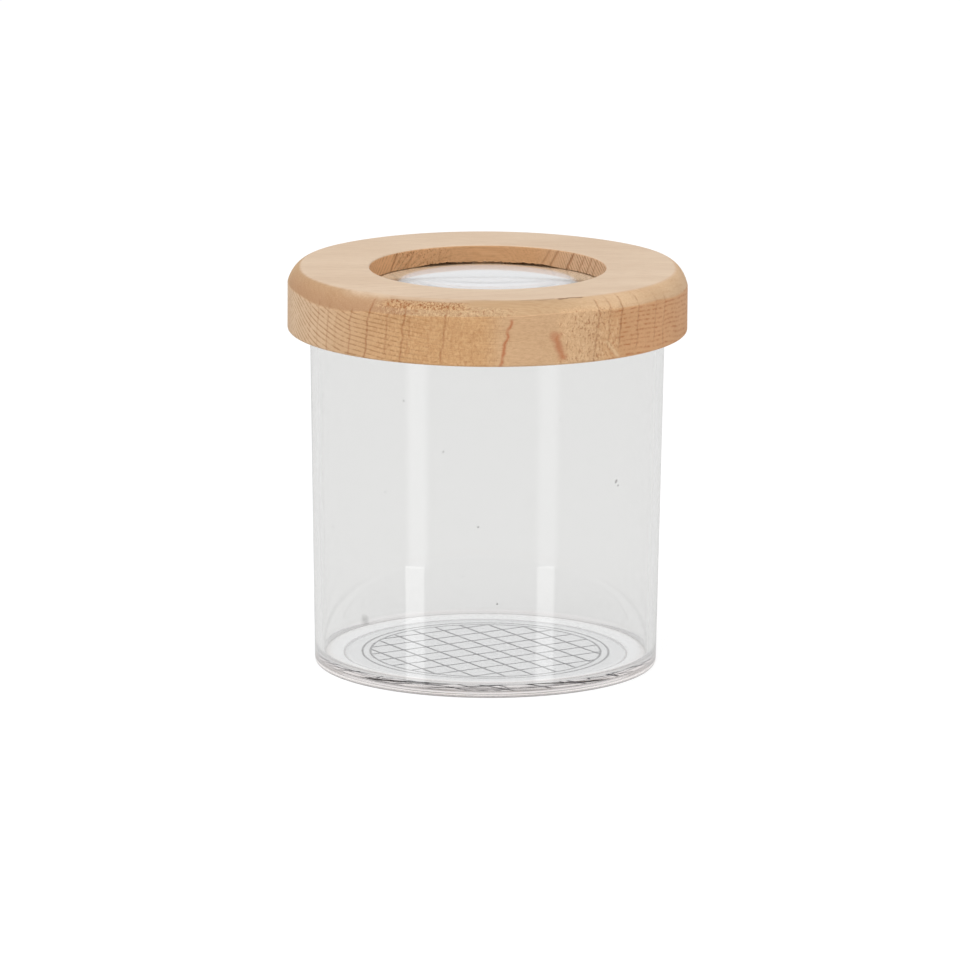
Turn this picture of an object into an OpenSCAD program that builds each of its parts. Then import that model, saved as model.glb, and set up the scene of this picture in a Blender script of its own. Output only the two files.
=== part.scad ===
// Bug catcher jar: a clear moulded jar with a measuring grid printed under its
// floor, and a turned wooden lid with a magnifying lens in its window.
// Millimetres. Z is up, the origin is the centre of the jar's foot, on the
// plane that it stands on.

/* [Jar] */
// Height of the jar from the foot to its rim
jar_height = 69.6; // [50:0.1:100]
// Outside diameter of the jar at its rim
jar_rim_d = 66.6; // [60:0.1:90]
// How much smaller the jar's radius is at its foot than at its rim
jar_taper = 1.2; // [0.2:0.1:3]
// Thickness of the jar's side wall
jar_wall = 1.5; // [1:0.1:2.5]
// Thickness of the jar's floor
floor_t = 1.7; // [1:0.1:3]
// Height of the foot ring under the floor
foot_h = 0.5; // [0.3:0.05:1.2]
// Width of the foot's band, from the jar's side in to the recess
foot_band_w = 5.5; // [2:0.1:8]
// Radius of the rounded outer edge of the foot
foot_round = 0.6; // [0.2:0.1:1]
// Radius of the fillet between the floor and the wall, inside
floor_fillet = 1.2; // [0.5:0.1:3]
// Radius of the rounding on both edges of the rim
rim_round = 0.5; // [0.2:0.05:0.6]

/* [Measuring grid] */
// Plain margin between the recess's edge and the outer printed circle
print_margin = 3.2; // [0.5:0.1:8]
// Step from the outer printed circle in to the inner one, which bounds the squares
circle_step = 1.5; // [0.8:0.1:6]
// Side of one square of the grid, from line to line
grid_pitch = 5; // [2:0.5:10]
// Width of the two circles' lines
circle_line = 0.42; // [0.2:0.02:0.8]
// Width of the grid's lines
grid_line = 0.34; // [0.2:0.02:0.8]
// Thickness of the printed ink
ink_t = 0.08; // [0.04:0.01:0.2]
// Turn of the grid about the jar's axis, in degrees
grid_turn = 32; // [0:1:89]
// Place of the squares' centre line, along the turned grid's first direction
grid_shift_x = 1.9; // [-2.5:0.1:2.5]
// Place of the squares' centre line, along its second direction
grid_shift_y = -1.9; // [-2.5:0.1:2.5]

/* [Lid] */
// Thickness of the wood round the pocket that the jar's rim goes into
lid_wall = 4.04; // [2.5:0.02:8]
// Depth of that pocket
pocket_depth = 6; // [4:0.1:12]
// Width of the lid's top, from the window to the outside
lid_top_w = 15.3; // [12:0.1:22]
// Thickness of the wooden lip over the lens
lip_t = 3.2; // [2:0.1:5]
// Width of the rounded top edge
lid_round_w = 3.2; // [1:0.1:5]
// Height of the rounded top edge
lid_round_h = 2.9; // [1:0.1:5]
// Width of the broken edge at the bottom and at the window
lid_edge_break = 0.4; // [0.2:0.05:0.8]

/* [Lens] */
// How far the lens's flange reaches under the lip
flange_reach = 2.8; // [1.5:0.1:4]
// Thickness of the lens's flange
lens_flange_t = 1.3; // [0.8:0.1:3]
// Flat rim of the lens that shows in the window, outside its curved part
dome_inset = 0.4; // [0.2:0.1:4]
// Height of the upper curved face over the flange
lens_top_rise = 2; // [0.5:0.1:3]
// Depth of the lower curved face under the flange
lens_under_rise = 1.6; // [0.5:0.1:3]

/* [Lens ring] */
// Thickness of the split ring that holds the lens up
ring_t = 0.9; // [0.5:0.1:1.2]
// Width of the split ring's band
ring_band_w = 2.6; // [1.5:0.1:3]
// Gap in the split ring, through which it is squeezed and snapped in
ring_gap = 6; // [2:0.5:15]

/* [Fits] */
// Radial clearance between the jar's rim and the lid's pocket
rim_clearance = 0.06; // [0.02:0.01:0.1]
// Radial clearance of the lens and of its split ring in the lid's recess
lens_clearance = 0.1; // [0.05:0.01:0.3]
// Gap between the lens's flange and the lip above it
lip_gap = 0.3; // [0.1:0.05:0.6]

/* [Hidden] */
// Segments of a full turn, and of one rounded corner
$fn = 180;
corner_steps = 6;
dome_steps = 24;
// How far a cutting body runs past what it cuts
overrun = 1;

jar_rim_r = jar_rim_d / 2;
jar_base_r = jar_rim_r - jar_taper;
foot_recess_r = jar_base_r - foot_band_w;
floor_z = foot_h + floor_t;

outer_circle_r = foot_recess_r - print_margin;
inner_circle_r = outer_circle_r - circle_step;

pocket_r = jar_rim_r + rim_clearance;
lid_r = pocket_r + lid_wall;
window_r = lid_r - lid_top_w;
lens_r = window_r + flange_reach;
dome_r = window_r - dome_inset;
recess_r = lens_r + lens_clearance;

// From the pocket's roof up: the split ring, the lens's flange, a gap and the lip
ring_z = jar_height;
flange_z = ring_z + ring_t;
flange_top_z = flange_z + lens_flange_t;
lip_z = flange_top_z + lip_gap;
lid_top_z = lip_z + lip_t;
lid_z = jar_height - pocket_depth;

// Outside radius of the tapered jar at height z
function jar_outside_r(z) = jar_base_r + (jar_rim_r - jar_base_r) * z / jar_height;

// Points along an arc about centre c, from angle a to angle b
function arc(c, r, a, b, steps) =
    [for (i = [0:steps]) c + r * [cos(a + (b - a) * i / steps), sin(a + (b - a) * i / steps)]];

// Radius of the circle through a chord's ends that rises to a given height
function cap_radius(half_chord, rise) = (half_chord * half_chord + rise * rise) / (2 * rise);

// Points along a shallow cap from the axis out to its edge, on top of height z
function cap(half_chord, rise, z) =
    let (r = cap_radius(half_chord, rise), reach = asin(half_chord / r))
    [for (i = [0:dome_steps])
        [r * sin(reach * i / dome_steps), z + rise - r * (1 - cos(reach * i / dome_steps))]];

function reversed(points) = [for (i = [len(points) - 1:-1:0]) points[i]];

// The same points mirrored in the plane at height z
function flipped(points, z) = [for (p = points) [p[0], 2 * z - p[1]]];

// Clear jar, turned about its axis: foot ring, tapered wall, rounded rim, floor
module jar() {
    inside_floor_r = jar_outside_r(floor_z) - jar_wall;
    rim_inside_r = jar_rim_r - jar_wall;
    outline = concat(
        [[0, foot_h], [foot_recess_r, foot_h], [foot_recess_r, 0]],
        arc([jar_base_r - foot_round, foot_round], foot_round, -90, 0, corner_steps),
        arc([jar_rim_r - rim_round, jar_height - rim_round], rim_round, 0, 90, corner_steps),
        arc([rim_inside_r + rim_round, jar_height - rim_round], rim_round, 90, 180, corner_steps),
        arc([inside_floor_r - floor_fillet, floor_z + floor_fillet], floor_fillet, 0, -90, corner_steps),
        [[0, floor_z]]
    );
    color([0.88, 0.9, 0.9, 0.4]) rotate_extrude() polygon(outline);
}

// One printed circle, flat on the underside of the floor
module printed_circle(r) {
    difference() {
        cylinder(h = ink_t, r = r);
        translate([0, 0, -overrun]) cylinder(h = ink_t + 2 * overrun, r = r - circle_line);
    }
}

// One family of parallel grid lines, cut off at the inner circle's line
module printed_lines(shift) {
    lines = ceil(inner_circle_r / grid_pitch) + 1;
    intersection() {
        cylinder(h = ink_t, r = inner_circle_r - circle_line / 2);
        for (i = [-lines:lines])
            if (abs(shift + i * grid_pitch) < inner_circle_r - circle_line)
                translate([shift + i * grid_pitch - grid_line / 2, -inner_circle_r, 0])
                    cube([grid_line, 2 * inner_circle_r, ink_t]);
    }
}

// Printed scale: two circles and the squares inside, in ink under the floor
module measuring_grid() {
    color([0.42, 0.42, 0.45]) translate([0, 0, foot_h - ink_t]) rotate(grid_turn) {
        printed_circle(outer_circle_r);
        printed_circle(inner_circle_r);
        printed_lines(grid_shift_x);
        rotate(90) printed_lines(grid_shift_y);
    }
}

// Wooden lid ring: window, lip over the lens, lens recess and jar pocket
module lid_ring() {
    // The rounded top edge is an arc level with the top that meets the side at a crisp line
    round_r = cap_radius(lid_round_w, lid_round_h);
    side_angle = asin((round_r - lid_round_h) / round_r);
    outline = concat(
        [[pocket_r + lid_edge_break, lid_z], [lid_r - lid_edge_break, lid_z], [lid_r, lid_z + lid_edge_break]],
        arc([lid_r - lid_round_w, lid_top_z - round_r], round_r, side_angle, 90, 2 * corner_steps),
        [[window_r + lid_edge_break, lid_top_z], [window_r, lid_top_z - lid_edge_break], [window_r, lip_z]],
        [[recess_r, lip_z], [recess_r, jar_height], [pocket_r, jar_height], [pocket_r, lid_z + lid_edge_break]]
    );
    color([0.82, 0.66, 0.48]) rotate_extrude() polygon(outline);
}

// Magnifying lens: a flat flange with a curved face above and below
module magnifying_lens() {
    upper = cap(dome_r, lens_top_rise, flange_top_z);
    lower = flipped(cap(dome_r, lens_under_rise, flange_z), flange_z);
    outline = concat(lower, [[lens_r, flange_z], [lens_r, flange_top_z]], reversed(upper));
    color([0.86, 0.93, 0.96, 0.45]) rotate_extrude() polygon(outline);
}

// Split ring that snaps into the recess under the lens and carries its flange
module lens_retaining_ring() {
    color([0.85, 0.82, 0.76]) translate([0, 0, ring_z]) difference() {
        cylinder(h = ring_t, r = lens_r);
        translate([0, 0, -overrun]) cylinder(h = ring_t + 2 * overrun, r = lens_r - ring_band_w);
        translate([-ring_gap / 2, 0, -overrun]) cube([ring_gap, lens_r + overrun, ring_t + 2 * overrun]);
    }
}

jar();
measuring_grid();
lid_ring();
magnifying_lens();
lens_retaining_ring();
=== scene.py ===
"""Bug catcher jar: a clear jar with a measuring grid under its floor, and a wooden lid with a lens."""

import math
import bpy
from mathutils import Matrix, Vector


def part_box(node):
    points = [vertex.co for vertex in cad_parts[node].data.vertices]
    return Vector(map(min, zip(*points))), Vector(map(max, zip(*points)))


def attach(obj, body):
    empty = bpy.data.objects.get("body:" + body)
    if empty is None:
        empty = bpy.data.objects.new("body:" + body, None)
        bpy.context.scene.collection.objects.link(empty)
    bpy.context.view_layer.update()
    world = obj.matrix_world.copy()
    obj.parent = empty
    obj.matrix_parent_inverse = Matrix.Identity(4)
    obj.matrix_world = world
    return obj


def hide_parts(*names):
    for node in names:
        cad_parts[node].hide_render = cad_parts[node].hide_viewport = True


bl_info = {
    "name": "Bug Catcher Jar",
    "version": (1, 0, 0),
    "blender": (4, 5, 0),
    "location": "View3D > Sidebar > Bug Jar",
    "description": "Clear jar with a measuring grid, a turned wooden lid and a magnifying lens",
    "category": "Add Mesh",
}

import bmesh
import bpy
from bpy.props import FloatProperty, FloatVectorProperty, IntProperty, PointerProperty
from mathutils import Matrix, Vector, noise

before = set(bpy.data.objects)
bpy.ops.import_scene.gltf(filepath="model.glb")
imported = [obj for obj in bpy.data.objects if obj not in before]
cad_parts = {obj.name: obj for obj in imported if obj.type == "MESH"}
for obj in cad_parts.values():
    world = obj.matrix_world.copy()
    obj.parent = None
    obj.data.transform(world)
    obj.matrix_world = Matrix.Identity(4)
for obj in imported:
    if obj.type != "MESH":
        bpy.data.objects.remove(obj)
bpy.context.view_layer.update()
JAR_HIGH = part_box("jar")[1]
LID_LOW, LID_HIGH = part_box("lid_ring")
LENS_LOW, LENS_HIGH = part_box("magnifying_lens")

MM = 0.001
FULL_TURN = 2 * math.pi
WHITE = (1, 1, 1)

# Heights and radii nearer than this are the same one
SAME = 0.001 * MM
# How far the vertices of a turned ring may lie from its radius and height
SLACK = 0.02 * MM
# How far sanding reaches past the rounding, down the side and in over the top
SANDED_BELOW, SANDED_IN = 3.5 * MM, 4 * MM

# For the materials, in millimetres: the jar's outside radius is SIDE_FOOT + SIDE_SLOPE * height
SIDE_FOOT, SIDE_SLOPE = 32.0, 0.0172
# Length of one degree round the wall, and the radii between which the floor meets it
WALL_DEGREE, FLOOR_EDGE = 0.57, (27.5, 30.5)
# The printed squares' turn in degrees, the place of the second set of lines, and their pitch
GRID_TURN, GRID_SHIFT, GRID_PITCH = 32, -1.9, 5.0
# Place of the growth rings' pith before and above the origin, and the width of one ring
PITH_Y, PITH_Z, RING_WIDTH = -33.9, 109.0, 0.9

# How bright the floor shows, and how bright floor and sky show where plastic mirrors them
FLOOR_GLOW, MIRRORED_FLOOR, MIRRORED_SKY = 0.92, 0.56, 0.72
# The photograph's side in pixels, the sensor's in millimetres, and the fitted shift in pixels
PICTURE_SIDE, SENSOR_SIDE, CAMERA_SHIFT = 960, 36, (-6.58, -16.45)


# Sizes and colours that a user would change


def length(name, description, default, low=0.00001, high=0.5):
    return FloatProperty(name=name, description=description, default=default, min=low, max=high,
                         precision=5, step=0.01, unit="LENGTH")


def share(name, description, default):
    return FloatProperty(name=name, description=description, default=default, min=0, max=1, subtype="FACTOR")


def turn_steps(default, low, high):
    return IntProperty(name="Steps", description="Segments of a full turn",
                       default=default, min=low, max=high)


def linear(red, green, blue):
    """A colour read on a screen, 0 to 255, as the linear values that shaders take."""
    return tuple(((c / 255 + 0.055) / 1.055) ** 2.4 if c > 10 else c / 3294.6 for c in (red, green, blue))


def colour(name, description, red, green, blue):
    return FloatVectorProperty(name=name, description=description, default=linear(red, green, blue),
                               min=0, max=1, size=3, subtype="COLOR")


class JarSizes(bpy.types.PropertyGroup):
    """Sizes of the moulded jar."""

    height: length("Height", "From the foot to the rim", JAR_HIGH.z)
    rim_radius: length("Rim radius", "Outside radius at the rim", JAR_HIGH.x)
    taper: length("Taper", "How much smaller the radius is at the foot", 1.2 * MM)
    wall: length("Wall", "Thickness of the side wall", 1.5 * MM)
    floor: length("Floor", "Thickness of the floor", 1.7 * MM)
    foot: length("Foot", "Height of the foot's band", 0.5 * MM)
    foot_band: length("Foot band", "Width of the foot's band", 5.5 * MM)
    foot_round: length("Foot rounding", "Radius of the foot's outer edge", 0.6 * MM)
    recess_round: length("Recess rounding", "Radius of the recess's edges", 0.15 * MM)
    rim_round: length("Rim rounding", "Radius of the rim's edges", 0.5 * MM)
    fillet: length("Fillet", "Radius between the floor and the wall", 1.2 * MM)
    steps: turn_steps(288, 32, 720)


class PlasticColours(bpy.types.PropertyGroup):
    """Colours of the jar's clear plastic."""

    skin: colour("Skin", "Taken on at the jar's outside", 222, 222, 221)
    body: colour("Body", "Everywhere inside the wall", 253, 253, 253)
    floor: colour("Floor", "Middle of the thick floor", 249, 250, 252)
    # Painted shade where the floor meets the wall
    foot: colour("Foot", "Where the floor meets the wall", 236, 234, 234)
    # Painted shade on the near side of the foot, deeper and warmer
    foot_front_shade: colour("Foot front", "The same on the near side", 226, 215, 210)
    scuff: colour("Scuff", "Scuffs on the foot's outer edge", 120, 112, 112)
    speck: colour("Speck", "Specks of dust and scratches", 70, 66, 62)


class PrintSizes(bpy.types.PropertyGroup):
    """The printed measuring grid."""

    sunk: length("Sunk", "How far the ink reaches into the floor's underside", 0.02 * MM)
    ink: colour("Ink", "Colour of the printed lines", 104, 104, 113)
    circle_cover: share("Circle cover", "How far the two circles' thinner ink hides what is behind it", 0.4)


class LidSizes(bpy.types.PropertyGroup):
    """Sizes of the turned wooden lid."""

    radius: length("Radius", "Outside radius", LID_HIGH.x)
    bottom: length("Bottom", "Height of the lid's lower edge", LID_LOW.z)
    top: length("Top", "Height of the lid's top", LID_HIGH.z)
    window: length("Window", "Radius of the window", 22.1 * MM)
    lip: length("Lip", "Thickness of the lip over the lens", 3.2 * MM)
    recess: length("Recess", "Radius of the recess that the lens lies in", 25 * MM)
    pocket: length("Pocket", "Radius of the pocket for the jar's rim", 33.36 * MM)
    pocket_roof: length("Pocket roof", "Height of the pocket's roof", JAR_HIGH.z)
    round_width: length("Rounding width", "Width of the turned rounding before sanding", 3.2 * MM)
    round_height: length("Rounding height", "Height of the turned rounding before sanding", 2 * MM)
    edge: length("Broken edge", "Width of the broken edges", 0.4 * MM)
    steps: turn_steps(720, 64, 1440)


class WoodColours(bpy.types.PropertyGroup):
    """Colours of the bare beech."""

    top: colour("Top", "Sanded top", 224, 201, 176)
    rounding: colour("Rounding", "Rounded top edge", 196, 163, 126)
    # Painted highlight on the right of the rounding
    round_highlight: colour("Pale rounding", "Rounded top edge on the right", 220, 187, 150)
    round_brown: colour("Brown rounding", "Lower edge of the rounding on the left", 177, 136, 103)
    side: colour("Side", "Turned side", 204, 159, 112)
    side_warm: colour("Warm side", "Redder stretch of the side", 217, 168, 124)
    # On the left of the side this paler colour is a painted sheen; on the front right it is a paler stretch
    # of the wood
    side_pale_and_sheen: colour("Pale side", "Paler stretch of the side", 217, 189, 158)
    window: colour("Window wall", "Wall of the window", 221, 171, 125)
    # Painted light that brightens the window's shaded left wall
    window_left_lit: colour("Window left", "Yellower stretch of the window's wall, on the left", 255, 196, 144)
    window_right: colour("Window right", "Paler stretch of the window's wall, on the right", 238, 200, 166)
    inside: colour("Inside", "Pocket and recess", 203, 165, 124)
    ring: colour("Growth ring", "Dark late wood of the growth rings", 158, 112, 68)
    streak: colour("Red streak", "Reddish mineral streaks", 176, 98, 56)
    pit: colour("Pit", "Pits in torn grain and cutter marks", 152, 90, 46)
    dash: colour("Dash", "Broken growth rings of the right side", 182, 116, 70)
    cut: colour("Cut", "Dark cracks and pores", 112, 72, 42)
    fibre: colour("Torn fibre", "Pale torn fibres", 242, 208, 164)
    torn: colour("Torn side", "Torn grain of the side", 236, 192, 146)
    pit_row: colour("Pit row", "Torn grain of the rounding", 204, 152, 94)


class LensSizes(bpy.types.PropertyGroup):
    """Sizes of the magnifying lens."""

    radius: length("Radius", "Radius over the flange", LENS_HIGH.x)
    dome: length("Dome", "Radius of the curved part", 21.7 * MM)
    bottom: length("Bottom", "Lowest point of the lower curve", LENS_LOW.z)
    top: length("Top", "Highest point of the upper curve", LENS_HIGH.z)
    under_rise: length("Under rise", "Depth of the lower curve", 1.6 * MM)
    top_rise: length("Top rise", "Height of the upper curve", 2 * MM)
    edge: length("Edge", "Rounding of the flange's edges", 0.15 * MM)
    steps: turn_steps(288, 32, 720)
    tint: colour("Lens", "Colour of the clear lens", 249, 250, 252)
    # Painted reflection of the wood round the lens, mixed into its colour near the rim
    rim_wood_reflection: colour("Lens rim", "Colour near the rim, where wood shows through", 229, 209, 183)


class RingLooks(bpy.types.PropertyGroup):
    """The split ring under the lens."""

    plastic: colour("Plastic", "Colour of the satin plastic", 224, 203, 176)


class StageSettings(bpy.types.PropertyGroup):
    """Floor, light and camera."""

    distance: length("Distance", "From the camera to the jar's axis", 1.75, 0.5, 20)
    elevation: FloatProperty(name="Elevation", description="Camera's angle above the floor",
                             default=math.radians(11.924), subtype="ANGLE")
    roll: FloatProperty(name="Roll", description="Camera's turn about its own axis",
                        default=math.radians(0.345), subtype="ANGLE")
    aim: length("Aim", "Height on the axis that the camera looks at", 37.7 * MM)
    scale: FloatProperty(name="Scale", description="Pixels to a millimetre at the axis", default=5.328)
    ambient: FloatProperty(name="Ambient", description="Strength of the even studio light",
                           default=0.46, min=0)
    floor_size: length("Floor", "Side of the square floor", 24, 1, 100)


# Meshes


def profile(points):
    """A bmesh with one open wire through the points, given as radius and height."""
    bm = bmesh.new()
    row = [bm.verts.new((radius, 0, height)) for radius, height in points]
    for first, second in zip(row, row[1:]):
        bm.edges.new((first, second))
    return bm


def at(bm, point):
    """The profile's vertex at a radius and height."""
    return min(bm.verts, key=lambda vert: (vert.co - Vector((point[0], 0, point[1]))).length)


def swept(bm, start, centre_height, centre_radius, angle, steps):
    """Carries the wire on from the point start along an arc, and gives the arc's last vertex."""
    made = bmesh.ops.spin(bm, geom=[at(bm, start)], cent=(centre_radius, 0, centre_height), axis=(0, 1, 0),
                          angle=angle, steps=steps, use_merge=False, use_duplicate=False)
    return next(item for item in made["geom_last"] if isinstance(item, bmesh.types.BMVert))


def divided(bm, lines):
    """Cuts straight edges of the profile into short ones. Each is given as two points and its cuts."""
    for first, second, cuts in lines:
        pair = {at(bm, first), at(bm, second)}
        edges = [edge for edge in bm.edges if set(edge.verts) == pair]
        bmesh.ops.subdivide_edges(bm, edges=edges, cuts=cuts)


def turned(bm, steps, sectors=12):
    """Spins a profile through one sector and repeats it round the Z axis into a closed skin."""
    part = FULL_TURN / sectors
    bmesh.ops.spin(bm, geom=bm.verts[:] + bm.edges[:], cent=(0, 0, 0), axis=(0, 0, 1), angle=part,
                   steps=steps // sectors, use_merge=False, use_duplicate=False)
    sector = bm.verts[:] + bm.edges[:] + bm.faces[:]
    for number in range(1, sectors):
        copy = bmesh.ops.duplicate(bm, geom=sector)["geom"]
        bmesh.ops.rotate(bm, verts=[item for item in copy if isinstance(item, bmesh.types.BMVert)],
                         cent=(0, 0, 0), matrix=Matrix.Rotation(number * part, 3, "Z"))
    bmesh.ops.remove_doubles(bm, verts=bm.verts, dist=SAME)
    bmesh.ops.recalc_face_normals(bm, faces=bm.faces)


def on_ring(vert, radius, height):
    """Whether the vertex lies on the turned ring of that radius and height."""
    return abs(math.hypot(vert.co.x, vert.co.y) - radius) < SLACK and abs(vert.co.z - height) < SLACK


def rounded(bm, rings):
    """Rounds turned rings with a bevel. Each is given as radius, height, amount and segments."""
    for radius, height, amount, segments in rings:
        edges = [edge for edge in bm.edges if all(on_ring(vert, radius, height) for vert in edge.verts)]
        if not edges:
            raise RuntimeError(f"no ring at radius {radius} and height {height}")
        bmesh.ops.bevel(bm, geom=edges, offset=amount, offset_type="OFFSET", segments=segments, profile=0.5,
                        affect="EDGES", material=-1, clamp_overlap=True)
    bmesh.ops.recalc_face_normals(bm, faces=bm.faces)


def placed(name, data):
    """A new object in the scene."""
    made = bpy.data.objects.new(name, data)
    bpy.context.scene.collection.objects.link(made)
    return made


def meshed(name, bm, material):
    """A mesh object made of a finished bmesh, in one material."""
    mesh = bpy.data.meshes.new(name)
    bm.to_mesh(mesh)
    bm.free()
    mesh.materials.append(material)
    return placed(name, mesh)


def piece(name, bm, material, body, replaced, sharp=math.radians(32)):
    """Makes the bmesh an object that rides on its body and stands for its node."""
    made = meshed(name, bm, material)
    made.data.shade_smooth()
    made.data.set_sharp_from_angle(angle=sharp)
    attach(made, body)
    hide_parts(replaced)


# Materials


class Shading:
    """Adds shader nodes to one tree and joins them. Most calls give the socket that holds the result."""

    def __init__(self, name, kind="materials"):
        self.owner = getattr(bpy.data, kind).new(name)
        self.owner.use_nodes = True
        self.tree = self.owner.node_tree
        self.tree.nodes.clear()

    def feed(self, socket, value):
        """Links a socket to another one, or sets its own value. A colour may leave its alpha out."""
        if isinstance(value, bpy.types.NodeSocket):
            self.tree.links.new(value, socket)
        elif socket.type == "RGBA" and len(value) == 3:
            socket.default_value = (*value, 1)
        else:
            socket.default_value = value

    def node(self, kind, inputs=(), **settings):
        made = self.tree.nodes.new(kind)
        for key, value in settings.items():
            setattr(made, key, value)
        for key, value in dict(inputs).items():
            self.feed(made.inputs[key], value)
        return made

    def math(self, operation, *values):
        return self.node("ShaderNodeMath", enumerate(values), operation=operation).outputs[0]

    def times(self, *values):
        product = values[0]
        for value in values[1:]:
            product = self.math("MULTIPLY", product, value)
        return product

    def plus(self, *values):
        total = values[0]
        for value in values[1:]:
            total = self.math("ADD", total, value)
        return total

    def minus(self, first, second):
        return self.math("SUBTRACT", first, second)

    def most(self, first, second):
        return self.math("MAXIMUM", first, second)

    def step(self, value, low, high, start=0.0, end=1.0):
        """Rises smoothly from start to end while value goes from low to high."""
        inputs = {"Value": value, "From Min": low, "From Max": high, "To Min": start, "To Max": end}
        return self.node("ShaderNodeMapRange", inputs, interpolation_type="SMOOTHSTEP").outputs[0]

    def fall(self, value, low, high):
        """Falls smoothly from one to nothing while value goes from low to high."""
        return self.step(value, low, high, 1.0, 0.0)

    def between(self, value, low, high, soft):
        """One between low and high, falling to nothing over soft on both sides."""
        return self.times(self.step(value, low - soft, low), self.fall(value, high, high + soft))

    def near(self, value, centre, reach):
        """One at centre, falling to nothing at reach on both sides."""
        return self.fall(self.math("ABSOLUTE", self.minus(value, centre)), 0.0, reach)

    def sway(self, pattern, amount):
        """A pattern from 0 to 1 as a shift to both sides, amount from end to end."""
        return self.times(self.minus(pattern, 0.5), amount)

    def slant(self, first, second):
        """The straight distance that two distances at right angles give."""
        return self.math("SQRT", self.plus(self.times(first, first), self.times(second, second)))

    def mix(self, amount, first, second):
        """Goes from the first colour to the second while amount goes from 0 to 1."""
        made = self.node("ShaderNodeMix", data_type="RGBA")
        for index, value in ((0, amount), (6, first), (7, second)):
            self.feed(made.inputs[index], value)
        return made.outputs[2]

    def millimetres(self):
        """The point on the piece in millimetres."""
        place = self.node("ShaderNodeTexCoord").outputs["Object"]
        return self.node("ShaderNodeMapping", {"Vector": place, "Scale": (1000, 1000, 1000)}).outputs[0]

    def moved(self, vector, scale=(1, 1, 1), turn=(0, 0, 0)):
        """The vector turned and scaled, to stretch or lean the pattern that reads it."""
        return self.node("ShaderNodeMapping", {"Vector": vector, "Scale": scale, "Rotation": turn}).outputs[0]

    def split(self, vector):
        return self.node("ShaderNodeSeparateXYZ", {"Vector": vector}).outputs[:3]

    def joined(self, x, y, z):
        return self.node("ShaderNodeCombineXYZ", {"X": x, "Y": y, "Z": z}).outputs[0]

    def round_axis(self, x, y):
        """Degrees round the jar's axis from the front: left is below zero, right is above it."""
        return self.math("DEGREES", self.math("ARCTAN2", x, self.math("MULTIPLY", y, -1.0)))

    def noise(self, vector, scale, detail=2.0, rough=0.5, twist=0.0):
        return self.node("ShaderNodeTexNoise", {"Vector": vector, "Scale": scale, "Detail": detail,
                                                "Roughness": rough, "Distortion": twist}).outputs["Fac"]

    def cells(self, vector, scale):
        """How far the point lies from the middle of its cell."""
        return self.node("ShaderNodeTexVoronoi", {"Vector": vector, "Scale": scale}).outputs["Distance"]

    def attribute(self, name):
        return self.node("ShaderNodeAttribute", attribute_name=name).outputs["Fac"]

    def bump(self, height_mm):
        return self.node("ShaderNodeBump", {"Height": height_mm, "Distance": MM, "Strength": 1.0}).outputs[0]

    def surface(self, **inputs):
        """Ends the tree in a Principled surface and gives the material."""
        named = {key.replace("_", " "): value for key, value in inputs.items()}
        shader = self.node("ShaderNodeBsdfPrincipled", named)
        self.node("ShaderNodeOutputMaterial", {"Surface": shader.outputs[0]})
        return self.owner


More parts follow.
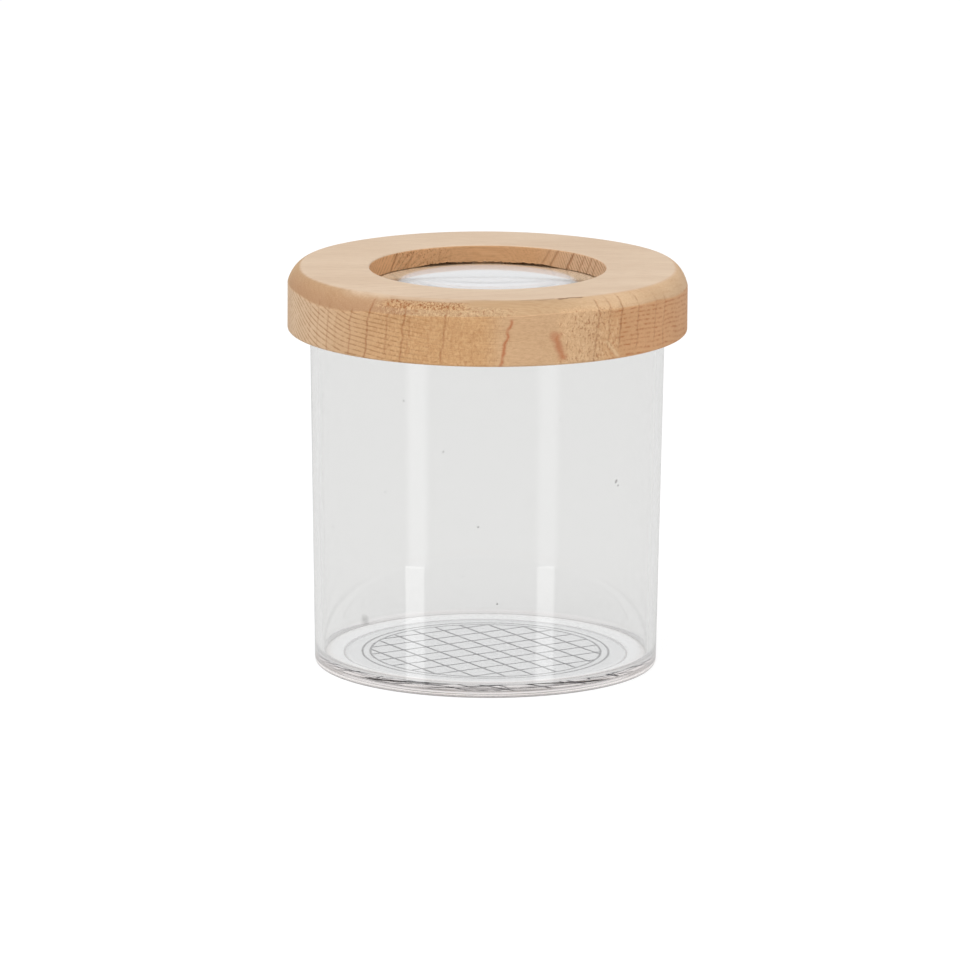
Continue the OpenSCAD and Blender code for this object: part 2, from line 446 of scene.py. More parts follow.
def clear_plastic(looks):
    """Clear moulded plastic with faint handling marks, a scuffed foot, painted shade at the foot and a few
    specks of dust.
    """
    s = Shading("jar_clear")
    place = s.millimetres()
    x, y, z = s.split(place)
    out = s.slant(x, y)
    turn = s.round_axis(x, y)
    haze = s.noise(s.moved(place, (0.11, 0.11, 0.05)), 1.0, 3.0, 0.6)
    rub = s.noise(s.moved(place, (1.8, 1.8, 0.12)), 1.0, 2.0, 0.5)
    handled = s.plus(0.012, s.times(s.step(haze, 0.45, 0.75), 0.02), s.times(s.step(rub, 0.6, 0.8), 0.02))
    rough = s.times(handled, s.step(z, 2.0, 6.0, 0.3, 1.0))
    wave = s.times(s.noise(s.moved(place, (0.07, 0.07, 0.02)), 1.0, 1.0), 0.01)

    # Painted shade darkens the plastic where the floor meets the wall, more deeply and warmer on the near
    # side. The middle of the thick floor has a tint of its own, and the foot's outer edge is scuffed from
    # standing
    skin = s.math("MULTIPLY_ADD", z, SIDE_SLOPE, SIDE_FOOT)
    outside = s.step(s.minus(out, skin), -0.35, -0.2)
    base = s.mix(outside, looks.body, looks.skin)
    low = s.fall(z, 2.0, 3.0)
    floor_in, floor_out = FLOOR_EDGE
    base = s.mix(s.times(low, s.step(out, floor_in, floor_out)), base, looks.foot)
    front = s.fall(y, -3.0, 8.0)
    near_foot_shade = s.times(s.step(z, 1.8, 3.0, 0.8, 0.0), s.step(out, floor_in, floor_out), front)
    base = s.mix(near_foot_shade, base, looks.foot_front_shade)
    base = s.mix(s.times(low, s.step(out, floor_out, floor_in)), base, looks.floor)
    scuff = s.times(s.fall(z, 0.1, 0.6), s.step(out, 31.0, 31.6), s.step(rub, 0.3, 0.6, 0.7, 1.0))
    base = s.mix(s.times(scuff, 0.75), base, looks.scuff)

    def away(where, height):
        """Millimetres along the wall from a place on it, given in degrees from the front and height."""
        return s.slant(s.times(s.minus(turn, where), WALL_DEGREE), s.minus(z, height))

    # Specks on the outside: degrees from the front, height, radius and strength
    ragged = s.sway(s.noise(place, 2.6, 2.0), 0.35)
    specks = None
    for where, height, size, dark in (
        (47.2, 39.2, 0.42, 0.75), (48.1, 38.3, 0.3, 0.6), (-2.65, 32.6, 0.24, 0.8),
        (-61.1, 28.8, 0.24, 0.9), (3.7, 18.0, 0.24, 0.9), (-14.1, 46.6, 0.26, 0.45),
        (-34.9, 37.9, 0.24, 0.45), (24.2, 52.4, 0.16, 0.35), (-7.6, 23.1, 0.16, 0.35),
        (61.0, 55.0, 0.2, 0.3), (128.0, 30.0, 0.25, 0.6), (-150.0, 44.0, 0.25, 0.6),
    ):
        spot = s.times(s.fall(s.plus(away(where, height), ragged), size * 0.5, size), dark)
        specks = spot if specks is None else s.most(specks, spot)
    # A small smear low on the left, and a long faint scratch
    smear = s.step(away(-43.9, 12.8), 0.2, 1.5, 0.5, 0.0)
    scratch = s.times(s.near(s.plus(turn, s.times(z, 0.07)), -70.6, 0.45), s.between(z, 8.0, 36.0, 4.0), 0.22)
    marked = s.times(s.most(specks, s.most(smear, scratch)), outside)
    base = s.mix(marked, base, looks.speck)
    return s.surface(Base_Color=base, Roughness=rough, IOR=1.5, Transmission_Weight=1.0, Normal=s.bump(wave))


def lens_plastic(tint, rim_wood_reflection):
    """Clear polished plastic of the lens, with a painted reflection of the wood round it that warms its
    colour towards the rim.
    """
    s = Shading("lens_clear")
    place = s.millimetres()
    x, y = s.split(place)[:2]
    out = s.slant(x, y)
    # A painted reflection of the wood round the lens warms the colour towards the rim
    tone = s.mix(s.step(out, 15.9, 17.0), tint, rim_wood_reflection)
    haze = s.noise(s.moved(place, (0.2, 0.2, 0.2)), 1.0, 3.0, 0.6)
    rough = s.plus(0.09, s.times(s.step(haze, 0.5, 0.8), 0.03))
    return s.surface(Base_Color=tone, Roughness=rough, IOR=1.49, Transmission_Weight=1.0)


def printed_ink(ink, circle_cover):
    """Thin screen-printed ink with uneven cover, thinnest on the circles and on one set of lines."""
    s = Shading("grid_ink")
    place = s.millimetres()
    x, y = s.split(place)[:2]
    out = s.slant(x, y)
    cover = s.noise(place, 1.3, 3.0, 0.6)
    paler = tuple(min(1.0, c * 1.6) for c in ink)
    # The second set of lines, each at the middle of its own pitch
    across = s.split(s.moved(place, turn=(0, 0, math.radians(-GRID_TURN))))[1]
    in_pitch = s.math("FRACT", s.math("DIVIDE", s.plus(across, 4.5 * GRID_PITCH - GRID_SHIFT), GRID_PITCH))
    second = s.times(s.near(in_pitch, 0.5, 0.08), s.step(s.noise(place, 0.55, 2.0), 0.35, 0.6, 0.1, 0.6))
    # The circles lie outside this radius
    circle = s.step(out, 21.3, 21.5)
    solid = s.plus(1.0, s.times(second, s.minus(circle, 1.0)), s.times(circle, circle_cover - 1.0))
    return s.surface(Base_Color=s.mix(s.step(cover, 0.35, 0.7), ink, paler), Alpha=solid,
                     Roughness=s.step(cover, 0.2, 0.8, 0.45, 0.65))


def satin_plastic(plastic):
    """Off-white satin plastic of the split ring."""
    s = Shading("ring_satin")
    place = s.millimetres()
    grain = s.noise(place, 4.0, 2.0)
    blotch = s.noise(place, 0.25, 2.0)
    darker = tuple(c * 0.93 for c in plastic)
    return s.surface(Base_Color=s.mix(s.step(blotch, 0.3, 0.7), plastic, darker),
                     Roughness=s.step(grain, 0.3, 0.7, 0.38, 0.5), Normal=s.bump(s.times(grain, 0.008)))


def beech_wood(wood):
    """Bare beech, its grain along X: a sanded top, and a rough turned side with cutter marks and tears."""
    s = Shading("bare_beech")
    place = s.millimetres()
    x, y, z = s.split(place)
    turn = s.round_axis(x, y)
    # 0 on the side, 0 to 1 up the rounding, 1 on top, 2 on the window's wall, 3 inside
    band = s.attribute("band")
    side = s.fall(band, 0.0, 0.1)
    rounding = s.times(s.step(band, 0.0, 0.08), s.fall(band, 0.8, 1.0))
    top = s.times(s.step(band, 0.75, 1.0), s.fall(band, 1.2, 1.6))
    wall = s.times(s.step(band, 1.3, 1.8), s.fall(band, 2.2, 2.8))
    inside = s.step(band, 2.3, 2.9)
    ahead = s.fall(s.math("ABSOLUTE", turn), 125.0, 168.0)
    left = s.times(s.fall(turn, -30.0, -9.0), ahead)
    right = s.times(s.step(turn, 22.0, 40.0), s.fall(band, 1.3, 1.6), ahead)

    # Growth rings: cylinders round a pith in front of the lid and above it, whose pull fades to the right
    drift = s.noise(s.moved(place, (0.02, 0.05, 0.05)), 1.0, 2.0, 0.5)
    from_pith = s.times(s.plus(y, -PITH_Y), s.step(x, 2.0, 30.0, 1.0, 0.25))
    reach = s.slant(from_pith, s.plus(z, -PITH_Z))
    reach = s.plus(reach, s.times(drift, 5.0), s.times(x, -0.1))
    phase = s.math("FRACT", s.math("DIVIDE", reach, RING_WIDTH))
    late = s.times(s.step(phase, 0.5, 0.84), s.fall(phase, 0.86, 1.0))
    # On the right they are wide and broken into short dashes
    dashes = s.times(s.step(phase, 0.25, 0.6), s.fall(phase, 0.65, 1.0),
                     s.step(s.noise(s.moved(place, (1.1, 1.1, 2.2)), 1.0, 3.0, 0.6), 0.38, 0.62, 0.1, 1.0))
    late = s.plus(s.times(late, s.minus(1.0, right)), s.times(dashes, right))
    broken = s.step(s.noise(s.moved(place, (0.9, 0.9, 0.9)), 1.0, 2.0), 0.32, 0.6, 0.25, 1.0)
    ring_share = s.plus(
        s.times(side, s.plus(0.1, s.times(left, 0.66), s.times(right, 0.85))),
        s.times(rounding, 0.14),
        s.times(top, s.step(x, 0.0, 18.0, 0.1, 0.03)),
        s.times(wall, s.plus(s.step(x, -14.0, -10.0, 0.45, 0.15), s.step(x, 12.0, 16.0, 0.0, 0.75))),
        s.times(inside, 0.35),
    )
    rings = s.times(late, broken, ring_share)

    # Fibres and pores: long along X, fine across it
    fibre = s.noise(s.moved(place, (0.16, 5.5, 5.5)), 1.0, 3.0, 0.6)
    fleck = s.step(s.noise(s.moved(place, (0.5, 9.0, 9.0)), 1.0, 1.0), 0.62, 0.75)
    pore = s.fall(s.cells(place, 3.2), 0.0, 0.28)
    blotch = s.noise(s.moved(place, (0.03, 0.12, 0.12)), 1.0, 2.0)

    # Cutter marks that run down the side at uneven places, a little to the left: degrees from the front,
    # strength, lowest and highest point
    marks = None
    tipped = s.plus(turn, s.times(s.plus(z, -69.0), -0.16))
    for where, deep, low, high in (
        (-61.5, 0.35, 65, 71), (-56.9, 0.6, 64.5, 72), (-51.9, 0.7, 64, 72), (-48.3, 0.35, 65, 71),
        (-42.6, 0.7, 63.6, 72), (-36.3, 1.0, 63.6, 74), (-29.8, 0.6, 65.5, 72), (-24.7, 0.95, 63.6, 73),
        (-22.9, 0.5, 66, 73), (-16.6, 0.3, 65, 72), (-12.5, 0.85, 64.5, 73.5), (-9.8, 0.3, 66, 72),
        (32.6, 0.85, 63.8, 74.2), (36.7, 0.7, 67, 74.3), (41.1, 0.9, 66, 74.5), (47.9, 0.6, 65.5, 74.2),
        (55.9, 0.5, 66, 74), (60.9, 0.5, 64.5, 73), (-112, 0.8, 64, 73), (-128, 0.6, 64, 72),
        (-141, 0.9, 65, 73), (104, 0.7, 64, 73), (121, 0.8, 65, 72), (149, 0.6, 64, 73),
    ):
        wander = s.sway(s.noise(s.joined(where, where, z), 0.45, 2.0), 1.8)
        line = s.times(s.near(s.plus(tipped, wander), where, 0.55), s.between(z, low, high, 1.2), deep)
        marks = line if marks is None else s.most(marks, line)
    uneven = s.step(s.noise(place, 1.7, 2.0), 0.3, 0.6, 0.35, 1.0)
    marks = s.times(marks, uneven, s.fall(band, 0.75, 1.0))
    # The same on the window's wall, where they lean more and wander as the last mark of the side does
    tipped = s.plus(turn, s.times(s.plus(z, -73.5), 1.5))
    for where, deep in ((150, 0.5), (145.3, 0.7), (135.1, 1.0), (126.5, 0.6), (120, 0.7), (114.5, 0.5),
                        (-127, 0.9), (-139, 0.5)):
        line = s.times(s.near(s.plus(tipped, s.times(wander, 1.5)), where, 1.3), wall, deep)
        marks = s.most(marks, line)

    # Torn grain: a patch of short fibres on the right, pits and fibres on the rounding and the window's wall
    stray = s.sway(s.noise(s.moved(place, (0.35, 0.35, 0.35)), 1.0, 2.0), 16.0)
    torn_side = s.times(s.between(s.plus(turn, stray), 24.0, 37.0, 6.0), s.between(z, 64.2, 73.2, 1.2),
                        s.fall(band, 0.3, 0.7))
    torn_round = s.times(s.between(s.plus(turn, stray), -30.0, 2.0, 7.0), s.between(band, 0.06, 0.36, 0.12))
    pit_row = s.times(s.between(turn, -29.0, -9.0, 5.0), s.between(band, 0.34, 0.6, 0.12))
    torn_wall = s.times(wall, s.between(s.minus(turn, stray), -158.0, -130.0, 5.0), 0.9)
    torn = s.most(s.times(torn_side, 0.85), s.most(s.times(torn_round, 0.75), torn_wall))
    chips = s.noise(s.moved(place, (2.4, 2.4, 1.5), (0.5, 0.3, 0)), 1.0, 3.0, 0.6, 0.8)
    pit = s.times(s.fall(chips, 0.36, 0.44), torn, 0.65)
    pit = s.most(pit, s.times(s.fall(chips, 0.4, 0.5), pit_row, 0.9))
    chip = s.times(s.step(chips, 0.5, 0.6),
                   s.minus(s.most(torn, s.times(pit_row, 0.8)), s.times(torn_wall, 0.7)))
    # A bundle of pale fibres that lifts out of the patch
    bundle = s.times(s.near(s.plus(turn, s.times(s.plus(z, -65.7), 1.3)), 38.0, 1.3),
                     s.between(z, 64.3, 67.0, 0.6), side)
    torn = s.most(torn, pit_row)

    # Two red streaks and a few fine cracks along the top edge
    sway = s.sway(s.noise(s.moved(place, (0.3, 0.3, 0.5)), 1.0, 2.0), 2.4)
    lean = s.plus(turn, sway, s.times(s.minus(z, 68.0), -0.35))
    thin_streak = s.times(s.near(lean, 5.2, 0.75), s.between(z, 63.6, 72.0, 0.8))
    wide_streak = s.times(s.near(s.plus(lean, s.times(s.minus(z, 68.0), 0.85)), 20.2, 2.2),
                          s.between(z, 65.0, 69.4, 1.0))
    streaks = s.times(s.most(thin_streak, s.times(wide_streak, 0.9)),
                      s.step(s.noise(place, 0.8, 3.0), 0.25, 0.55, 0.35, 1.0))
    sway = s.sway(s.noise(s.moved(place, (0.35, 0.35, 1)), 1.0, 2.0), 0.25)
    cracks = s.times(s.near(s.plus(band, sway), 0.84, 0.06),
                     s.most(s.between(turn, 23, 30.5, 1.0), s.times(s.between(turn, 11, 21, 1.5), 0.35)))

    # Colours of the bands, then what lies over them
    base = s.mix(s.times(s.step(turn, 24.0, 50.0), ahead), wood.side, wood.side_warm)
    base = s.mix(s.times(s.between(turn, 6.0, 30.0, 8.0), 0.4), base, wood.side_pale_and_sheen)
    # Painted sheen: the left of the side is made paler
    base = s.mix(s.times(s.fall(turn, -75.0, -18.0), ahead), base, wood.side_pale_and_sheen)
    # A painted highlight makes the rounding paler on the right
    curve = s.mix(s.times(s.step(turn, 18.0, 40.0), ahead), wood.rounding, wood.round_highlight)
    curve = s.mix(s.times(s.between(turn, -80.0, -28.0, 10.0), s.step(band, 0.1, 0.9, 0.75, 0.25)), curve,
                  wood.round_brown)
    curve = s.mix(s.times(s.between(turn, -42.0, -12.0, 10.0), s.step(band, 0.4, 0.95, 0.0, 0.8)), curve,
                  wood.top)
    base = s.mix(rounding, base, curve)
    base = s.mix(top, base, wood.top)
    base = s.mix(wall, base, wood.window)
    # Painted light: the window's left wall is made brighter and yellower
    base = s.mix(s.times(wall, s.step(x, -5.0, -15.0), 0.75), base, wood.window_left_lit)
    base = s.mix(s.times(wall, s.step(x, 8.0, 18.0), 0.9), base, wood.window_right)
    base = s.mix(inside, base, wood.inside)
    base = s.mix(s.times(s.step(blotch, 0.3, 0.75), 0.16), base, wood.ring)
    fibres = s.times(s.step(fibre, 0.42, 0.72), s.minus(0.26, s.times(top, 0.1)))
    base = s.mix(fibres, base, wood.ring)
    base = s.mix(s.times(s.step(fibre, 0.45, 0.3), 0.12), base, wood.fibre)
    base = s.mix(s.times(fleck, s.plus(0.10, s.times(top, 0.09))), base, wood.cut)
    base = s.mix(s.times(pore, side, 0.12), base, wood.cut)
    base = s.mix(rings, base, s.mix(right, wood.ring, wood.dash))
    base = s.mix(s.times(torn_side, 0.35), base, wood.torn)
    base = s.mix(s.times(pit_row, 0.3), base, wood.pit_row)
    base = s.mix(s.times(s.most(chip, s.times(bundle, 1.4)), 0.45), base, wood.fibre)
    base = s.mix(pit, base, wood.pit)
    base = s.mix(s.times(streaks, 0.75), base, wood.streak)
    base = s.mix(s.times(marks, 0.55), base, wood.pit)
    base = s.mix(s.times(cracks, 0.85), base, wood.cut)

    height = s.plus(s.times(fibre, 0.012), s.times(marks, -0.12), s.times(chips, torn, 0.32),
                    s.times(bundle, 0.15), s.times(cracks, -0.12))
    rough = s.step(fibre, 0.3, 0.7, 0.58, 0.72)
    return s.surface(Base_Color=base, Roughness=rough, Specular_IOR_Level=0.3, Normal=s.bump(height))


# Operators, one for each piece


class BUGJAR_OT_jar(bpy.types.Operator):
    """Make the clear moulded jar."""

    bl_idname = "bugjar.jar"
    bl_label = "Jar"

    def execute(self, context):
        size = context.scene.bug_jar
        base, rim, top = size.rim_radius - size.taper, size.rim_radius, size.height
        rim_inside = rim - size.wall
        floor_top = size.foot + size.floor
        inner_floor = base + size.taper * floor_top / top - size.wall
        recess = base - size.foot_band
        bm = profile([(0, size.foot), (recess, size.foot), (recess, 0), (base, 0), (rim, top),
                      (rim_inside, top), (inner_floor, floor_top), (0, floor_top)])
        # Short strips next to each rounding keep the long faces' normals true
        divided(bm, (
            ((0, size.foot), (recess, size.foot), 24), ((recess, 0), (base, 0), 6),
            ((base, 0), (rim, top), 60), ((rim_inside, top), (inner_floor, floor_top), 40),
            ((inner_floor, floor_top), (0, floor_top), 24),
        ))
        turned(bm, size.steps)
        rounded(bm, (
            (recess, size.foot, 2 * size.recess_round, 5), (recess, 0, size.recess_round, 3),
            (base, 0, size.foot_round, 6), (rim, top, size.rim_round, 6),
            (rim_inside, top, size.rim_round, 6), (inner_floor, floor_top, size.fillet, 8),
        ))
        material = clear_plastic(context.scene.bug_jar_plastic)
        piece("jar_shell", bm, material, "jar", "jar")
        return {"FINISHED"}


class BUGJAR_OT_print(bpy.types.Operator):
    """Make the measuring grid that is printed under the floor."""

    bl_idname = "bugjar.print"
    bl_label = "Measuring grid"

    def execute(self, context):
        size = context.scene.bug_jar_print
        bm = bmesh.new()
        bm.from_mesh(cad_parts["measuring_grid"].data)
        bmesh.ops.remove_doubles(bm, verts=bm.verts, dist=SAME / 10)
        bmesh.ops.translate(bm, verts=bm.verts, vec=(0, 0, size.sunk))
        material = printed_ink(size.ink, size.circle_cover)
        piece("printed_scale", bm, material, "jar", "measuring_grid")
        return {"FINISHED"}


def lid_turn(co):
    """Degrees round the lid from the front, left below zero."""
    return math.degrees(math.atan2(co.x, -co.y))


def swell(value, centre, reach):
    """A smooth rise to one at centre."""
    return math.exp(-((value - centre) / reach) ** 2)


def held(value):
    """The value, held between nothing and one."""
    return min(1, max(0, value))


# Degrees round the lid from the front, and the sanded rounding's width and height there in millimetres
SANDED = ((-180, 1.2, 1.6), (-130, 1.6, 1.9), (-90, 2.7, 2.9), (-72, 2.75, 3.2), (-57, 3.1, 3.9),
          (-46, 3.5, 3.75), (-34, 4.1, 2.95), (-10, 5.0, 2.65), (4, 5.2, 2.3), (22, 4.7, 2.1), (38, 3.9, 2.4),
          (55, 3.2, 2.55), (72, 2.9, 3.1), (90, 2.7, 3.2), (130, 1.7, 2.0), (180, 1.2, 1.6))


def along_turn(turn, column):
    """The sanded rounding's width, column 0, or height, column 1, eased from one place to the next."""
    for (start, *before), (end, *after) in zip(SANDED, SANDED[1:]):
        if turn <= end:
            way = (turn - start) / (end - start)
            way = way * way * (3 - 2 * way)
            return before[column] + (after[column] - before[column]) * way
    return SANDED[-1][column + 1]


class BUGJAR_OT_lid(bpy.types.Operator):
    """Make the turned wooden lid with its hand-sanded, uneven rounding."""

    bl_idname = "bugjar.lid"
    bl_label = "Wooden lid"

    def execute(self, context):
        size = context.scene.bug_jar_lid
        lip_under = size.top - size.lip
        shoulder = size.top - size.round_height
        arc_r = (size.round_width ** 2 + size.round_height ** 2) / (2 * size.round_height)
        arc_turn = math.acos((arc_r - size.round_height) / arc_r)
        flat = size.radius - size.round_width
        bm = profile([
            (size.radius, shoulder), (size.radius, size.bottom), (size.pocket, size.bottom),
            (size.pocket, size.pocket_roof), (size.recess, size.pocket_roof), (size.recess, lip_under),
            (size.window, lip_under), (size.window, size.top), (flat, size.top),
        ])
        swept(bm, (flat, size.top), size.top - arc_r, flat, arc_turn, 14)
        bmesh.ops.remove_doubles(bm, verts=bm.verts, dist=SAME / 10)
        divided(bm, (((size.radius, shoulder), (size.radius, size.bottom), 20),
                     ((size.window, lip_under), (size.window, size.top), 8),
                     ((size.window, size.top), (flat, size.top), 12)))
        turned(bm, size.steps)
        rounded(bm, ((size.radius, size.bottom, size.edge, 3), (size.pocket, size.bottom, size.edge, 2),
                     (size.window, size.top, size.edge, 4)))
        self.mark_bands(bm, size, shoulder, flat, arc_r, arc_turn, lip_under)
        self.sand(bm, size, shoulder, flat)
        self.fray(bm, size, lip_under)
        material = beech_wood(context.scene.bug_jar_wood)
        piece("turned_lid", bm, material, "lid", "lid_ring", math.radians(13))
        return {"FINISHED"}

    def mark_bands(self, bm, size, shoulder, flat, arc_r, arc_turn, lip_under):
        """Says on each vertex which part of the turned outline it lies on."""
        band = bm.verts.layers.float.new("band")
        for vert in bm.verts:
            radius, height = math.hypot(vert.co.x, vert.co.y), vert.co.z
            if radius > flat - SAME and height > shoulder - SAME:
                along = math.atan2(radius - flat, height - (size.top - arc_r)) / arc_turn
                vert[band] = 1 - held(along)
            elif height > size.top - SAME:
                vert[band] = 1
            elif radius > size.radius - 2 * size.edge:
                vert[band] = 0
            elif radius < size.window + size.edge and height > lip_under - SAME:
                vert[band] = 1 + min(1, (size.top - height) / size.edge)
            else:
                vert[band] = 3

    def sand(self, bm, size, shoulder, flat):
        """Moves the rounding in and out as uneven sanding left it."""
        for vert in bm.verts:
            co = vert.co
            radius, height, turn = math.hypot(co.x, co.y), co.z, lid_turn(co)
            if radius > flat - SAME and height > shoulder - SANDED_BELOW:
                wide = along_turn(turn, 0) + 0.25 * noise.noise(co * 60)
                tall = along_turn(turn, 1) + 0.2 * noise.noise(co * 90 + Vector((5, 0, 0)))
                wide, tall = wide * MM / size.round_width, tall * MM / size.round_height
                if height > shoulder - SAME:
                    new_radius = size.radius - (size.radius - radius) * wide
                    co.z = size.top - (size.top - height) * tall
                else:
                    below = (shoulder - height) / SANDED_BELOW
                    new_radius = radius
                    co.z = height + (1 - below) * (1 - tall) * size.round_height
            elif height > size.top - SAME and radius > flat - SANDED_IN:
                wide = along_turn(turn, 0) * MM - size.round_width
                share_in = (radius - (flat - SANDED_IN)) / SANDED_IN
                new_radius = radius - max(0.0, wide) * share_in
            else:
                continue
            co.x, co.y = co.x * new_radius / radius, co.y * new_radius / radius

    def fray(self, bm, size, lip_under):
        """Frays the lip's lower edge, most of all behind, and brings it down almost to the lens elsewhere."""
        for vert in bm.verts:
            if on_ring(vert, size.window, lip_under):
                co = vert.co
                turn = abs(lid_turn(co))
                frayed = 0.5 + 0.5 * swell(turn, 170, 30)
                rag = noise.noise(co * 2500) + 0.5 * noise.noise(co * 900)
                lowered = 0.27 * held((152 - turn) / 10)
                co.z += (frayed * max(-0.12, min(0.3, rag * 0.3)) * (1 - 3.5 * lowered) - lowered) * MM
                inward = 1 - frayed * max(0, rag) * 0.25 * MM / math.hypot(co.x, co.y)
                co.x, co.y = co.x * inward, co.y * inward


class BUGJAR_OT_lens(bpy.types.Operator):
    """Make the magnifying lens with its flange and two curved faces."""

    bl_idname = "bugjar.lens"
    bl_label = "Magnifying lens"

    def execute(self, context):
        size = context.scene.bug_jar_lens
        low, high = size.bottom + size.under_rise, size.top - size.top_rise
        bm = profile([(size.dome, low), (size.radius, low), (size.radius, high), (size.dome, high)])
        for start, rise, sense in ((low, size.under_rise, 1), (high, size.top_rise, -1)):
            ball = (size.dome ** 2 + rise ** 2) / (2 * rise)
            end = swept(bm, (size.dome, start), start + sense * (ball - rise), 0,
                        sense * math.asin(size.dome / ball), 28)
            end.co.x = 0
        turned(bm, size.steps)
        rounded(bm, ((size.radius, low, size.edge, 3), (size.radius, high, size.edge, 3)))
        material = lens_plastic(size.tint, size.rim_wood_reflection)
        piece("lens", bm, material, "lid", "magnifying_lens", math.radians(6))
        return {"FINISHED"}


class BUGJAR_OT_lens_ring(bpy.types.Operator):
    """Finish the split ring that holds the lens up."""

    bl_idname = "bugjar.lens_ring"
    bl_label = "Lens ring"

    def execute(self, context):
        material = satin_plastic(context.scene.bug_jar_ring.plastic)
        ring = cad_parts["lens_retaining_ring"]
        for slot in ring.material_slots:
            slot.material = material
        return {"FINISHED"}


class BUGJAR_OT_stage(bpy.types.Operator):
    """Make the floor, the light and the camera."""

    bl_idname = "bugjar.stage"
    bl_label = "Stage"

    def execute(self, context):
        settings = context.scene.bug_jar_stage
        self.floor(settings)
        self.world(settings)
        self.lamps()
        self.cards()
        self.camera(context, settings)
        return {"FINISHED"}

    def floor(self, settings):
        """A white floor that shows as an even glow with a faint shadow, and lights the object as grey."""
        bm = bmesh.new()
        bmesh.ops.create_grid(bm, x_segments=1, y_segments=1, size=settings.floor_size / 2)
        s = Shading("pale_floor")
        seen = s.node("ShaderNodeLightPath").outputs
        shows = s.most(seen["Is Camera Ray"], s.most(seen["Is Glossy Ray"], seen["Is Transmission Ray"]))
        lit = s.node("ShaderNodeBsdfDiffuse", {"Color": (0.8, 0.8, 0.8)})
        shadow = s.node("ShaderNodeBsdfDiffuse", {"Color": (0.16, 0.16, 0.16)})
        # Mirrored in the plastic the studio looks a little darker than it does behind it
        mirrored = s.times(seen["Is Glossy Ray"], s.minus(1.0, seen["Is Transmission Ray"]))
        strength = s.math("MULTIPLY_ADD", mirrored, MIRRORED_FLOOR - FLOOR_GLOW, FLOOR_GLOW)
        glow = s.node("ShaderNodeEmission", {"Color": WHITE, "Strength": strength})
        shown = s.node("ShaderNodeAddShader", {0: shadow.outputs[0], 1: glow.outputs[0]})
        ends = s.node("ShaderNodeMixShader", {0: shows, 1: lit.outputs[0], 2: shown.outputs[0]})
        s.node("ShaderNodeOutputMaterial", {"Surface": ends.outputs[0]})
        made = meshed("floor", bm, s.owner)

    def world(self, settings):
        """An even light that looks white behind the object and a little darker mirrored in it."""
        s = Shading("studio", "worlds")
        bpy.context.scene.world = s.owner
        seen = s.node("ShaderNodeLightPath").outputs
        direct = s.most(seen["Is Camera Ray"], seen["Is Transmission Ray"])
        strength = s.math("MULTIPLY_ADD", direct, 1 - MIRRORED_SKY, MIRRORED_SKY)
        bright = s.most(seen["Is Glossy Ray"], direct)
        even = s.node("ShaderNodeBackground", {"Color": (0.97, 0.98, 1), "Strength": settings.ambient})
        shown = s.node("ShaderNodeBackground", {"Color": WHITE, "Strength": strength})
        mixed = s.node("ShaderNodeMixShader", {0: bright, 1: even.outputs[0], 2: shown.outputs[0]})
        s.node("ShaderNodeOutputWorld", {"Surface": mixed.outputs[0]})

    def lamps(self):
        """Three soft boxes: place, width, height, watts and tone."""
        aim = Vector((0, 0, 0.045))
        for name, place, wide, tall, watts, tone in (
            ("top_box", (-0.25, -0.35, 1.25), 1.0, 1.0, 9, (1, 0.99, 0.97)),
            ("left_box", (-1.15, -0.85, 0.55), 0.6, 0.9, 6, (1, 0.98, 0.96)),
            ("right_box", (1.15, -0.95, 0.5), 0.6, 0.9, 5.5, (1, 0.98, 0.96)),
        ):
            data = bpy.data.lights.new(name, "AREA")
            data.shape, data.size, data.size_y = "RECTANGLE", wide, tall
            data.energy, data.color = watts, tone
            lamp = placed(name, data)
            facing = (aim - Vector(place)).to_track_quat("-Z", "Y")
            lamp.matrix_world = Matrix.Translation(place) @ facing.to_matrix().to_4x4()
            # Only the top box may glint. Seen in or through the floor, the others would hide the print
            lamp.visible_glossy = name == "top_box"
            lamp.visible_transmission = False

    def cards(self):
        """Bright cards lying in front, left and right, that show only as soft stripes in the jar's wall."""
        # A ray that meets the wall at some turn from the front leaves at twice that turn
        wall, lifted = JAR_HIGH.x - 0.5 * MM, 0.6 * MM
        # Turn, nearest and farthest reach, half width in degrees, where its soft edge starts, and strength
        for name, turn, near, far, width, soft_from, strength in (
            ("left_card", -24.2, 0.004, 0.093, 4.0, 0.7, 2.7),
            ("left_far_card", -23.2, 0.091, 0.4, 5.2, 0.3, 1.6),
            ("right_card", 20.2, 0.004, 0.094, 3.8, 0.6, 2.4),
            ("right_far_card", 20.4, 0.092, 0.4, 5.2, 0.3, 1.2),
        ):
            bm = bmesh.new()
            bmesh.ops.create_grid(bm, x_segments=24, y_segments=8, size=0.5)
            mark = bm.verts.layers.float.new("edge")
            for vert in bm.verts:
                across, along = vert.co.x * 2, vert.co.y + 0.5
                vert[mark] = abs(across)
                angle = math.radians(turn + across * width)
                reach = near + (far - near) * along
                vert.co = (wall * math.sin(angle) + reach * math.sin(2 * angle),
                           -wall * math.cos(angle) - reach * math.cos(2 * angle), lifted)
            s = Shading(name)
            soft = s.fall(s.attribute("edge"), soft_from, 1.0)
            glow = s.node("ShaderNodeEmission", {"Color": WHITE, "Strength": s.times(soft, strength)})
            clear = s.node("ShaderNodeBsdfTransparent")
            both = s.node("ShaderNodeAddShader", {0: glow.outputs[0], 1: clear.outputs[0]})
            s.node("ShaderNodeOutputMaterial", {"Surface": both.outputs[0]})
            card = meshed(name, bm, s.owner)
            card.visible_camera = card.visible_diffuse = card.visible_transmission = False
            card.visible_shadow = card.visible_volume_scatter = False

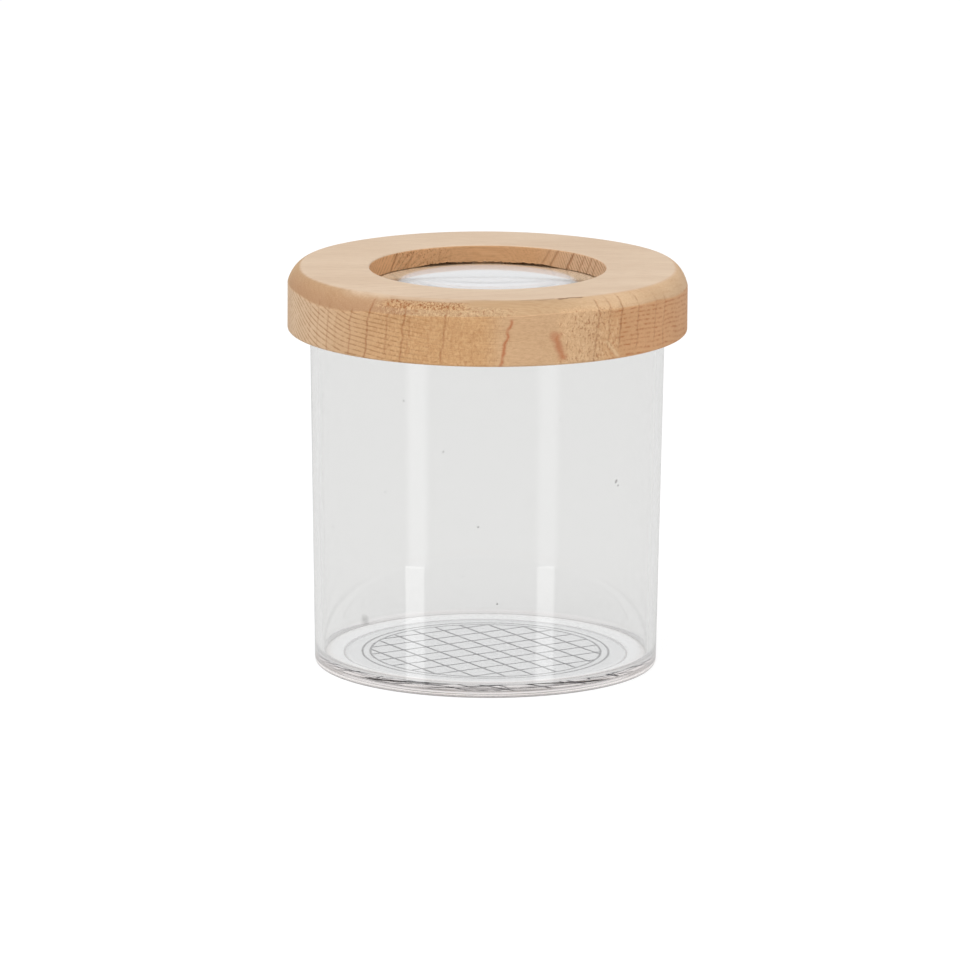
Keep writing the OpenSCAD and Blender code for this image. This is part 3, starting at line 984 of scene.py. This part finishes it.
    def camera(self, context, settings):
        """The camera that the photograph was taken with, as fitted to the model's edges."""
        data = bpy.data.cameras.new("photo_camera")
        made = placed("photo_camera", data)
        context.scene.camera = made
        tilt, away = settings.elevation, settings.distance
        place = Vector((0, -away * math.cos(tilt), settings.aim + away * math.sin(tilt)))
        ahead, across = Vector((0, math.cos(tilt), -math.sin(tilt))), Vector((1, 0, 0))
        stand = Matrix((across, across.cross(ahead), -ahead)).transposed().to_4x4()
        made.matrix_world = Matrix.Translation(place) @ stand @ Matrix.Rotation(settings.roll, 4, "Z")
        data.sensor_width = SENSOR_SIDE
        data.lens = settings.scale / MM * away / PICTURE_SIDE * SENSOR_SIDE
        data.shift_x, data.shift_y = (pixels / PICTURE_SIDE for pixels in CAMERA_SHIFT)
        data.clip_start, data.clip_end = 0.05, 100
        context.scene.view_settings.view_transform = "Standard"
        cycles = context.scene.cycles
        cycles.max_bounces, cycles.glossy_bounces, cycles.transmission_bounces = 24, 16, 24
        cycles.transparent_max_bounces = 16


STEPS = (BUGJAR_OT_jar, BUGJAR_OT_print, BUGJAR_OT_lid, BUGJAR_OT_lens, BUGJAR_OT_lens_ring, BUGJAR_OT_stage)
GROUPS = (("bug_jar", JarSizes), ("bug_jar_plastic", PlasticColours), ("bug_jar_print", PrintSizes),
          ("bug_jar_lid", LidSizes), ("bug_jar_wood", WoodColours), ("bug_jar_lens", LensSizes),
          ("bug_jar_ring", RingLooks), ("bug_jar_stage", StageSettings))


class BUGJAR_PT_sidebar(bpy.types.Panel):
    """Lists the jar's pieces and their sizes."""

    bl_idname = "BUGJAR_PT_sidebar"
    bl_label = "Bug Catcher Jar"
    bl_space_type = "VIEW_3D"
    bl_region_type = "UI"
    bl_category = "Bug Jar"

    def draw(self, context):
        for step in STEPS:
            self.layout.operator(step.bl_idname)
        for name, group in GROUPS:
            box = self.layout.box()
            for key in group.__annotations__:
                box.prop(getattr(context.scene, name), key)


def register():
    for name, group in GROUPS:
        bpy.utils.register_class(group)
        setattr(bpy.types.Scene, name, PointerProperty(type=group))
    for step in STEPS:
        bpy.utils.register_class(step)
    bpy.utils.register_class(BUGJAR_PT_sidebar)


def unregister():
    bpy.utils.unregister_class(BUGJAR_PT_sidebar)
    for step in reversed(STEPS):
        bpy.utils.unregister_class(step)
    for name, group in reversed(GROUPS):
        delattr(bpy.types.Scene, name)
        bpy.utils.unregister_class(group)


def main():
    register()
    bpy.ops.bugjar.jar()
    bpy.ops.bugjar.print()
    bpy.ops.bugjar.lid()
    bpy.ops.bugjar.lens()
    bpy.ops.bugjar.lens_ring()
    bpy.ops.bugjar.stage()


if __name__ == "__main__":
    main()
